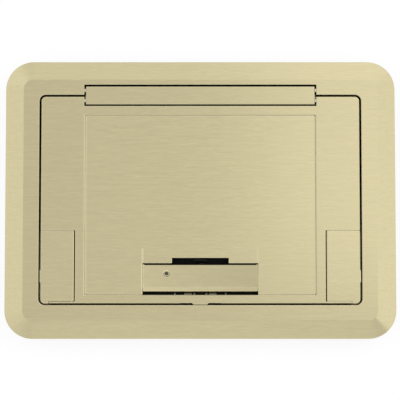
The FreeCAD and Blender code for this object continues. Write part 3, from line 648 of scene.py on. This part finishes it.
# %% Finishes by node
finishes = {
    brass_cast: ["flange", "lid", "hinge_strip"],
    brass_sheet: ["insert_plate", "cable_door_left", "cable_door_right"],
    brass_handle: ["handle"],
    screw_steel: ["lock_screw", "mounting_screws", "housing_screws"],
    pin_steel: ["hinge_pin_frame_left", "hinge_pin_frame_right", "hinge_pin_lid_left",
                "hinge_pin_lid_right", "cable_door_pin_left", "cable_door_pin_right",
                "handle_pin"],
    bolt_steel: ["latch_bolt", "latch_spring"],
    coated_zinc: ["latch_housing"],
    foam: ["floor_gasket", "lid_gasket_left", "lid_gasket_right"],
}
for finish, names in finishes.items():
    for name in names:
        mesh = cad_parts[name].data
        mesh.materials.clear()
        mesh.materials.append(finish)
dressed = {name for names in finishes.values() for name in names}
print("dressed", len(dressed), "nodes; bare:", sorted(set(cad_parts) - dressed))

# %% [markdown]
# ## Helper for new pieces
# Each small fitting is shaped in a bmesh, becomes one object at the origin with its place in its
# mesh, takes one finish and rides on one body.

# %% Piece from a bmesh
def finished_piece(name, bm, body, finish):
    bmesh.ops.recalc_face_normals(bm, faces=bm.faces)
    mesh = bpy.data.meshes.new(name)
    bm.to_mesh(mesh)
    bm.free()
    mesh.materials.append(finish)
    piece = bpy.data.objects.new(name, mesh)
    bpy.context.scene.collection.objects.link(piece)
    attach(piece, body)
    print(name, "faces", len(mesh.polygons), "on", body)
    return piece


def soften(bm, edges, width, segments=2):
    bmesh.ops.bevel(bm, geom=edges, offset=width, affect="EDGES", segments=segments,
                    profile=0.5, material=-1)


# %% [markdown]
# ## Hinge washers
# In the photo the gap at each end of the hinge strip is crossed twice by a bright piece. That is
# the hinge pin, and a thin washer on it keeps the strip centred. The washer is a short tube: a
# ring of points turned about the pin's axis with the spin operator, once for each pin.

# %% Washers on the hinge pins
washer_radius = 2.0 * mm
washer_thick = 0.7 * mm
washer_play = 0.12 * mm


def washer(bm, x0, x1, y, z, inner, outer):
    """Tube along X, made by turning its square section about the pin's axis."""
    chamfer = 0.2 * mm
    profile = [(x0, inner), (x0, outer - chamfer), (x0 + chamfer, outer), (x1 - chamfer, outer),
               (x1, outer - chamfer), (x1, inner)]
    points = [bm.verts.new((x, y, z + r)) for x, r in profile]
    loop = [bm.edges.new((points[i], points[(i + 1) % len(points)])) for i in range(len(points))]
    bmesh.ops.spin(bm, geom=points + loop, cent=(x0, y, z), axis=(1.0, 0.0, 0.0),
                   angle=2 * math.pi, steps=32, use_merge=True)


for side, sign in (("left", -1), ("right", 1)):
    for row, body in (("frame", "frame"), ("lid", "lid")):
        pin_low, pin_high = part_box("hinge_pin_%s_%s" % (row, side))
        axis_y = (pin_low.y + pin_high.y) / 2
        axis_z = (pin_low.z + pin_high.z) / 2
        pin_radius = (pin_high.z - pin_low.z) / 2
        gap_inner = strip_high.x + washer_play
        gap_outer = gap_inner + washer_thick
        ends = sorted((sign * gap_inner, sign * gap_outer))
        bm = bmesh.new()
        washer(bm, ends[0], ends[1], axis_y, axis_z, pin_radius, washer_radius)
        finished_piece("hinge_washer_%s_%s" % (row, side), bm, body, pin_steel)

# %% [markdown]
# ## Small blocks with rounded tops
# The next fittings are all narrow upright blocks: a cube scaled to its two corners, with its top
# edges bevelled. One helper makes a block, and each cell below only says where its blocks stand.

# %% Block helper
def block(bm, x0, x1, y0, y1, z0, z1):
    """Box between two corners, as a cube placed and scaled by one matrix."""
    middle = Vector(((x0 + x1) / 2, (y0 + y1) / 2, (z0 + z1) / 2))
    place = Matrix.Translation(middle) @ Matrix.Diagonal((x1 - x0, y1 - y0, z1 - z0, 1.0))
    return bmesh.ops.create_cube(bm, size=1.0, matrix=place)["verts"]


def edges_between(bm, points):
    """Edges whose two ends are both among the points."""
    return [edge for edge in bm.edges if all(v in points for v in edge.verts)]


def rounded_block(bm, across, along, low, high, radius):
    """Block between two places along X, two along Y and two heights, its top edges round."""
    points = block(bm, min(across), max(across), min(along), max(along), low, high)
    upper = [v for v in points if v.co.z > (low + high) / 2]
    soften(bm, edges_between(bm, upper), radius)


# %% [markdown]
# ## Hinge lugs
# Over each hinge pin a short lug reaches from the casting towards the end of the strip. From
# above, these are the light bridges in the dark gap at both ends of the strip. Each is a block
# of its own, because it is much finer than the casting, and it rides with the side it is cast on.

# %% Lugs over the hinge pins
lug_width = 2.7 * mm
lug_near = strip_high.x + 0.2 * mm
lug_far = strip_high.x + 1.69 * mm
lug_top = top_z - 0.15 * mm
for side, sign in (("left", -1), ("right", 1)):
    for row, body in (("frame", "frame"), ("lid", "lid")):
        pin_low, pin_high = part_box("hinge_pin_%s_%s" % (row, side))
        axis_y = (pin_low.y + pin_high.y) / 2
        bm = bmesh.new()
        rounded_block(bm, (sign * lug_near, sign * lug_far),
                      (axis_y - lug_width / 2, axis_y + lug_width / 2),
                      pin_high.z + 0.05 * mm, lug_top, 0.15 * mm)
        finished_piece("hinge_lug_%s_%s" % (row, side), bm, body, pin_steel)

# %% [markdown]
# ## Edges of the handle window
# Beside the handle the photo shows a light line, not a dark gap: the sheet panel is folded down
# there and almost closes the gap. Each folded edge is a thin upright strip with a rounded top.

# %% Folded edges beside the handle
fold_play = 0.04 * mm
fold_low = handle_low.z + 4.0 * mm
fold_high = panel_high.z - 0.4 * mm

bm = bmesh.new()
for sign in (-1, 1):
    rounded_block(bm, (sign * (handle_high.x + fold_play), sign * (window_half - 0.01 * mm)),
                  (handle_low.y + 0.6 * mm, handle_high.y - 0.2 * mm), fold_low, fold_high,
                  0.06 * mm)
finished_piece("window_edges_lid", bm, "lid", pin_steel)

# %% [markdown]
# ## Bead round the panel
# The line round the panel is soft in the photo, so the seam can't be an open gap. Such inlaid
# sheets are glued in, and the adhesive stands in the seam almost up to the face. Four thin
# blocks fill the straight parts of the seam; its corners stay open, as the photo hints.

# %% Bead in the panel seam
bead_near = 0.02 * mm
bead_far = 0.24 * mm
bead_low = panel_low.z + 0.1 * mm
bead_high = panel_high.z - 0.1 * mm
bead_radius = 0.05 * mm
corner = 1.2 * mm

bm = bmesh.new()
for sign in (-1, 1):
    rounded_block(bm, (sign * (panel_high.x + bead_near), sign * (panel_high.x + bead_far)),
                  (panel_low.y + corner, panel_high.y - corner), bead_low, bead_high, bead_radius)
across = (panel_low.x + corner, panel_high.x - corner)
rounded_block(bm, across, (panel_high.y + bead_near, panel_high.y + bead_far),
              bead_low, bead_high, bead_radius)
for sign in (-1, 1):
    rounded_block(bm, (sign * (window_half + 0.2 * mm), sign * across[1]),
                  (panel_low.y - bead_near, panel_low.y - bead_far),
                  bead_low, bead_high, bead_radius)
finished_piece("panel_bead_lid", bm, "lid", pin_steel)

# %% [markdown]
# ## Seam strips of the cable doors
# The rear seam of each cable door is hardly visible, and the right door shows no front seam at
# all. Thin strips against the walls of the lid's pockets close these seams almost to the face.
# They belong to the lid, so that an open door leaves them where they are. Each seam is given by
# the two places along Y that its strip fills, between the door's edge and the pocket's wall.

# %% Strips in the door seams
rear_seam = (-27.14 * mm, -26.91 * mm)
front_seam = (-88.49 * mm, -88.17 * mm)
seam_low = top_z - 2.6 * mm
seam_high = top_z - 0.1 * mm

bm = bmesh.new()
for name, sign in (("cable_door_left", -1), ("cable_door_right", 1)):
    door_low, door_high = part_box(name)
    ends = sorted((abs(door_low.x), abs(door_high.x)))
    reach = (sign * (ends[0] + 1.0 * mm), sign * (ends[1] - 1.2 * mm))
    rounded_block(bm, reach, rear_seam, seam_low, seam_high, 0.05 * mm)
    if sign > 0:
        rounded_block(bm, (ends[0] + 1.0 * mm, ends[1] - 8.0 * mm), front_seam,
                      seam_low, seam_high, 0.05 * mm)
finished_piece("door_seam_strips_lid", bm, "lid", pin_steel)

# %% [markdown]
# ## Rolled front edge of the handle
# The handle's front edge is rolled over and a little fuller than the solid model has it. The
# roll is one closed section, drawn in the plane across the handle as points that run down its
# outside and back up inside, filled as a face and extruded along the handle.

# %% Roll along the handle's front edge
roll_outside = [(-77.4, 23.3), (-78.0, 23.21), (-78.6, 23.06), (-79.2, 22.82), (-79.7, 22.5),
                (-80.1, 22.1), (-80.4, 21.6), (-80.55, 21.0), (-80.5, 20.5)]
roll_inside = [(-80.0, 20.4), (-79.5, 20.9), (-79.0, 21.8), (-78.2, 22.5), (-77.4, 22.9)]
roll_play = 0.05 * mm
start_x = handle_low.x + roll_play
end_x = handle_high.x - roll_play

bm = bmesh.new()
section = bm.faces.new([bm.verts.new((start_x, y * mm, z * mm))
                        for y, z in roll_outside + roll_inside])
made = bmesh.ops.extrude_face_region(bm, geom=[section])["geom"]
far_end = [item for item in made if isinstance(item, bmesh.types.BMVert)]
bmesh.ops.translate(bm, verts=far_end, vec=(end_x - start_x, 0.0, 0.0))
finished_piece("handle_roll", bm, "handle", brass_handle)

# %% [markdown]
# ## Stop pads in front of the handle
# The dark gap in front of the handle has a few lit spots on its far side, the same on the left
# and on the right. They are read as small cast pads on the wall of the lid, which guide the
# handle's front edge as it shuts. Each is a low block with its top edges rounded.

# %% Pads on the window's front wall
wall_y = -82.45 * mm
pad_depth = 0.55 * mm
pad_high = top_z - 1.0 * mm
pad_low = top_z - 3.2 * mm
pad_spans = ((4.4, 6.1), (7.3, 14.0), (21.3, 22.7))

bm = bmesh.new()
for start, end in pad_spans:
    for sign in (-1, 1):
        rounded_block(bm, (sign * start * mm, sign * end * mm), (wall_y, wall_y + pad_depth),
                      pad_low, pad_high, 0.15 * mm)
finished_piece("stop_pads_lid", bm, "lid", pin_steel)

# %% [markdown]
# ## Lock screw
# A small screw through the handle keeps the lid shut. In the photo its head sits a little below
# the face, with a dark socket in it. The CAD screw is flush and plain, so a finer one stands for
# it. Two circles, one of six points for the socket, are bridged to make the head's face, and
# each is then extruded: the hexagon down into the head, the round one out to the rim, down the
# countersink and along the shank.

# %% Lock screw with a hexagon socket
lock_low, lock_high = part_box("lock_screw")
lock_x = (lock_low.x + lock_high.x) / 2
lock_y = (lock_low.y + lock_high.y) / 2
lock_face = lock_high.z - 0.45 * mm
lock_radius = 2.45 * mm
socket_radius = 1.75 * mm
socket_depth = 1.2 * mm
socket_lead, socket_scale = 0.15 * mm, 0.86
rim_drop, rim_scale = 0.12 * mm, 1.05
cone_drop, cone_scale = 0.85 * mm, 0.62
shank_drop = lock_high.z - lock_low.z - 1.5 * mm


def edges_of(geometry):
    return [item for item in geometry if isinstance(item, bmesh.types.BMEdge)]


def pulled(bm, edges, drop, scale=1.0):
    """Extrude a loop of edges downwards, scaled about the screw's axis."""
    new = bmesh.ops.extrude_edge_only(bm, edges=edges)["geom"]
    points = [item for item in new if isinstance(item, bmesh.types.BMVert)]
    for point in points:
        point.co.x = lock_x + (point.co.x - lock_x) * scale
        point.co.y = lock_y + (point.co.y - lock_y) * scale
        point.co.z -= drop
    return [edge for edge in edges_of(new) if all(v in points for v in edge.verts)]


bm = bmesh.new()
face_place = Matrix.Translation((lock_x, lock_y, lock_face))
made = bmesh.ops.create_circle(bm, segments=36, radius=lock_radius, matrix=face_place)
rim = edges_between(bm, made["verts"])
made = bmesh.ops.create_circle(bm, segments=6, radius=socket_radius, matrix=face_place)
hexagon = edges_between(bm, made["verts"])
bmesh.ops.bridge_loops(bm, edges=rim + hexagon)
inside = pulled(bm, hexagon, socket_lead, socket_scale)
inside = pulled(bm, inside, socket_depth)
bmesh.ops.edgeloop_fill(bm, edges=inside)
outside = pulled(bm, rim, rim_drop, rim_scale)
outside = pulled(bm, outside, cone_drop, cone_scale)
outside = pulled(bm, outside, shank_drop)
bmesh.ops.edgeloop_fill(bm, edges=outside)
lock_screw = finished_piece("lock_screw_fine", bm, "handle", screw_steel)
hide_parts("lock_screw")

# %% [markdown]
# ## Screw threads
# The screws that hold the cover on its floor box have threads, which show from below. A thread
# is a small ridge that climbs round the shank, so a triangle is spun about the screw's axis while
# it moves along it: the spin operator's dvec does the climbing.

# %% Threads on the mounting screws
screws_low, screws_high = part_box("mounting_screws")
head_radius = 4.2 * mm
shank_radius = 2.0 * mm
thread_pitch = 1.0 * mm
thread_height = 0.28 * mm
thread_turns = 9
steps_per_turn = 20
screw_x = screws_high.x - head_radius
screw_y = screws_high.y - head_radius


def thread(bm, x, y, z):
    """Ridge of triangular section that climbs round a shank from height z."""
    foot = shank_radius - 0.05 * mm
    crest = shank_radius + thread_height
    half = 0.32 * thread_pitch
    points = [bm.verts.new((x + r, y, z + h)) for r, h in ((foot, -half), (crest, 0), (foot, half))]
    loop = [bm.edges.new((points[i], points[(i + 1) % 3])) for i in range(3)]
    bm.faces.new(points)
    steps = thread_turns * steps_per_turn
    turned = bmesh.ops.spin(bm, geom=points + loop, cent=(x, y, z), axis=(0.0, 0.0, 1.0),
                            dvec=(0.0, 0.0, thread_pitch / steps_per_turn),
                            angle=2 * math.pi * thread_turns, steps=steps, use_merge=False)
    end = [v for v in turned["geom_last"] if isinstance(v, bmesh.types.BMVert)]
    bm.faces.new(end)


bm = bmesh.new()
for sx in (-1, 1):
    for sy in (-1, 1):
        thread(bm, sx * screw_x, sy * screw_y, screws_low.z + 0.6 * mm)
finished_piece("screw_threads", bm, "frame", screw_steel)

# %% [markdown]
# ## Ejector marks
# A die casting is pushed out of its mould by round pins, and each leaves a faint raised disc on
# the hidden side. They are the plainest sign of how the lid is made. Each is a low disc with a
# softened rim, set between the ribs.

# %% Marks under the lid
def mark(bm, x, y, z, radius, height):
    """Low disc hanging from height z."""
    place = Matrix.Translation((x, y, z - height / 2 + 0.05 * mm))
    made = bmesh.ops.create_cone(bm, cap_ends=True, segments=28, radius1=radius * 0.94,
                                 radius2=radius, depth=height + 0.1 * mm, matrix=place)
    lower = [v for v in made["verts"] if v.co.z < z - height / 2]
    soften(bm, edges_between(bm, lower), 0.06 * mm, 1)


plate_under = top_z - 3.5 * mm
mark_columns = (-81.0, -16.0, 16.0, 81.0)
mark_rows = (0.6, 34.6, 66.0)
mark_radius = 3.0 * mm
mark_height = 0.25 * mm

bm = bmesh.new()
for x in mark_columns:
    for y in mark_rows:
        mark(bm, x * mm, y * mm, plate_under, mark_radius, mark_height)
finished_piece("ejector_marks_lid", bm, "lid", brass_cast)

# %% [markdown]
# ## Finish

# %% Finish
print("finished")
